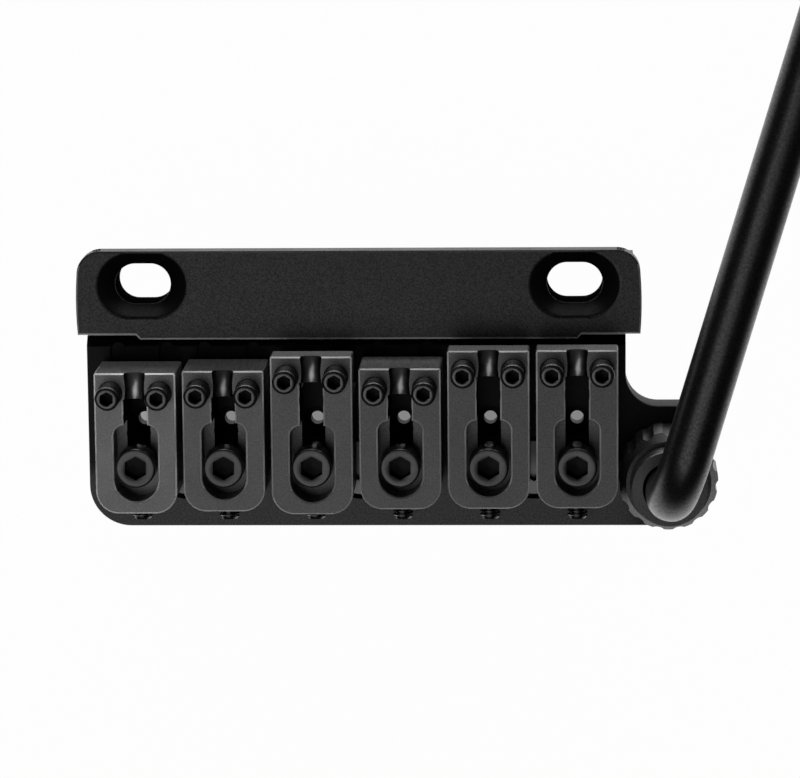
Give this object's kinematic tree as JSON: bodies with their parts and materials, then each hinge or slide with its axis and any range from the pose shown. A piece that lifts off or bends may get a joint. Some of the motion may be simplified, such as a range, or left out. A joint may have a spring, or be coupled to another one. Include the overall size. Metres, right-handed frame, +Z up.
{
  "type": "guitar tremolo bridge",
  "caption": "Guitar tremolo bridge: slotted front plate fixed to the top, rocking base plate on hidden ball bearings with single-string saddles, sustain block and swinging arm.",
  "frame": {"origin": "midway between the two mounting slots, on the guitar top under the front plate", "axes": "+Z up off the guitar top, +X to the arm (treble) side, +Y along the strings to the nut"},
  "size_m": [0.1161, 0.151, 0.0536],
  "materials": {
    "plate_coat": "satin black coating",
    "saddle_coat": "satin dark grey coating",
    "screw_black": "black oxide",
    "arm_coat": "satin black coating",
    "bearing_steel": "ground",
    "nylon": "matt black"
  },
  "bodies": {
    "mount": {"front_plate": "plate_coat", "bearing_block_bass": "plate_coat", "bearing_block_treble": "plate_coat", "bearing_block_screws": "screw_black", "bearing_outer_rings": "bearing_steel"},
    "rocker": {"base_plate": "plate_coat", "sustain_block": "plate_coat", "block_screws": "screw_black", "pivot_shaft": "bearing_steel", "bearing_inner_rings": "bearing_steel", "shaft_set_screws": "screw_black", "hold_down_screws": "screw_black", "arm_socket": "arm_coat", "friction_bush": "nylon"},
    "ball_set": {"bearing_balls": "bearing_steel"},
    "thumb_wheel": {"thumb_wheel": "arm_coat"},
    "tremolo_arm": {"tremolo_arm": "arm_coat"},
    "height_screws_1": {"height_screws_1": "screw_black"},
    "saddle_1": {"saddle_1": "saddle_coat"},
    "intonation_screw_1": {"intonation_screw_1": "screw_black"},
    "height_screws_2": {"height_screws_2": "screw_black"},
    "saddle_2": {"saddle_2": "saddle_coat"},
    "intonation_screw_2": {"intonation_screw_2": "screw_black"},
    "height_screws_3": {"height_screws_3": "screw_black"},
    "saddle_3": {"saddle_3": "saddle_coat"},
    "intonation_screw_3": {"intonation_screw_3": "screw_black"},
    "height_screws_4": {"height_screws_4": "screw_black"},
    "saddle_4": {"saddle_4": "saddle_coat"},
    "intonation_screw_4": {"intonation_screw_4": "screw_black"},
    "height_screws_5": {"height_screws_5": "screw_black"},
    "saddle_5": {"saddle_5": "saddle_coat"},
    "intonation_screw_5": {"intonation_screw_5": "screw_black"},
    "height_screws_6": {"height_screws_6": "screw_black"},
    "saddle_6": {"saddle_6": "saddle_coat"},
    "intonation_screw_6": {"intonation_screw_6": "screw_black"}
  },
  "joints": [
    {"name": "rock", "type": "hinge", "parent": "mount", "child": "rocker", "pos_m": [0, -0.0019, 0.0006], "axis": [1, 0, 0], "range_deg": [-9, 3], "stiffness_Nm_per_rad": 8},
    {"name": "ball_roll", "type": "hinge", "parent": "mount", "child": "ball_set", "pos_m": [0, -0.0019, 0.0006], "axis": [1, 0, 0], "range_deg": [-3.5, 1.3]},
    {"name": "arm_swing", "type": "hinge", "parent": "rocker", "child": "tremolo_arm", "pos_m": [0.0371, -0.02275, 0.0052], "axis": [0, 0, 1], "range_deg": [-160, 35]},
    {"name": "wheel_turn", "type": "hinge", "parent": "rocker", "child": "thumb_wheel", "pos_m": [0.0371, -0.02275, 0.0052], "axis": [0, 0, 1], "continuous": true},
    {"name": "intonation_1", "type": "slide", "parent": "rocker", "child": "height_screws_1", "axis": [0, 1, 0], "range_m": [-0.0022, 0.0009]},
    {"name": "height_1", "type": "slide", "parent": "height_screws_1", "child": "saddle_1", "axis": [0, 0, 1], "range_m": [-0.0009, 0.0013]},
    {"name": "intonation_feed_1", "type": "slide", "parent": "saddle_1", "child": "intonation_screw_1", "axis": [0, 1, 0], "range_m": [-0.001, 0.0023]},
    {"name": "intonation_2", "type": "slide", "parent": "rocker", "child": "height_screws_2", "axis": [0, 1, 0], "range_m": [-0.0022, 0.0009]},
    {"name": "height_2", "type": "slide", "parent": "height_screws_2", "child": "saddle_2", "axis": [0, 0, 1], "range_m": [-0.0009, 0.0013]},
    {"name": "intonation_feed_2", "type": "slide", "parent": "saddle_2", "child": "intonation_screw_2", "axis": [0, 1, 0], "range_m": [-0.001, 0.0023]},
    {"name": "intonation_3", "type": "slide", "parent": "rocker", "child": "height_screws_3", "axis": [0, 1, 0], "range_m": [-0.0022, 0.0009]},
    {"name": "height_3", "type": "slide", "parent": "height_screws_3", "child": "saddle_3", "axis": [0, 0, 1], "range_m": [-0.0009, 0.0013]},
    {"name": "intonation_feed_3", "type": "slide", "parent": "saddle_3", "child": "intonation_screw_3", "axis": [0, 1, 0], "range_m": [-0.001, 0.0023]},
    {"name": "intonation_4", "type": "slide", "parent": "rocker", "child": "height_screws_4", "axis": [0, 1, 0], "range_m": [-0.0022, 0.0009]},
    {"name": "height_4", "type": "slide", "parent": "height_screws_4", "child": "saddle_4", "axis": [0, 0, 1], "range_m": [-0.0009, 0.0013]},
    {"name": "intonation_feed_4", "type": "slide", "parent": "saddle_4", "child": "intonation_screw_4", "axis": [0, 1, 0], "range_m": [-0.001, 0.0023]},
    {"name": "intonation_5", "type": "slide", "parent": "rocker", "child": "height_screws_5", "axis": [0, 1, 0], "range_m": [-0.0022, 0.0009]},
    {"name": "height_5", "type": "slide", "parent": "height_screws_5", "child": "saddle_5", "axis": [0, 0, 1], "range_m": [-0.0009, 0.0013]},
    {"name": "intonation_feed_5", "type": "slide", "parent": "saddle_5", "child": "intonation_screw_5", "axis": [0, 1, 0], "range_m": [-0.001, 0.0023]},
    {"name": "intonation_6", "type": "slide", "parent": "rocker", "child": "height_screws_6", "axis": [0, 1, 0], "range_m": [-0.0022, 0.0009]},
    {"name": "height_6", "type": "slide", "parent": "height_screws_6", "child": "saddle_6", "axis": [0, 0, 1], "range_m": [-0.0009, 0.0013]},
    {"name": "intonation_feed_6", "type": "slide", "parent": "saddle_6", "child": "intonation_screw_6", "axis": [0, 1, 0], "range_m": [-0.001, 0.0023]}
  ],
  "couplings": [
    {"joint": "ball_roll", "follows": "rock", "ratio": 0.3667},
    {"joint": "intonation_feed_1", "follows": "intonation_1", "ratio": -1},
    {"joint": "intonation_feed_2", "follows": "intonation_2", "ratio": -1},
    {"joint": "intonation_feed_3", "follows": "intonation_3", "ratio": -1},
    {"joint": "intonation_feed_4", "follows": "intonation_4", "ratio": -1},
    {"joint": "intonation_feed_5", "follows": "intonation_5", "ratio": -1},
    {"joint": "intonation_feed_6", "follows": "intonation_6", "ratio": -1}
  ]
}
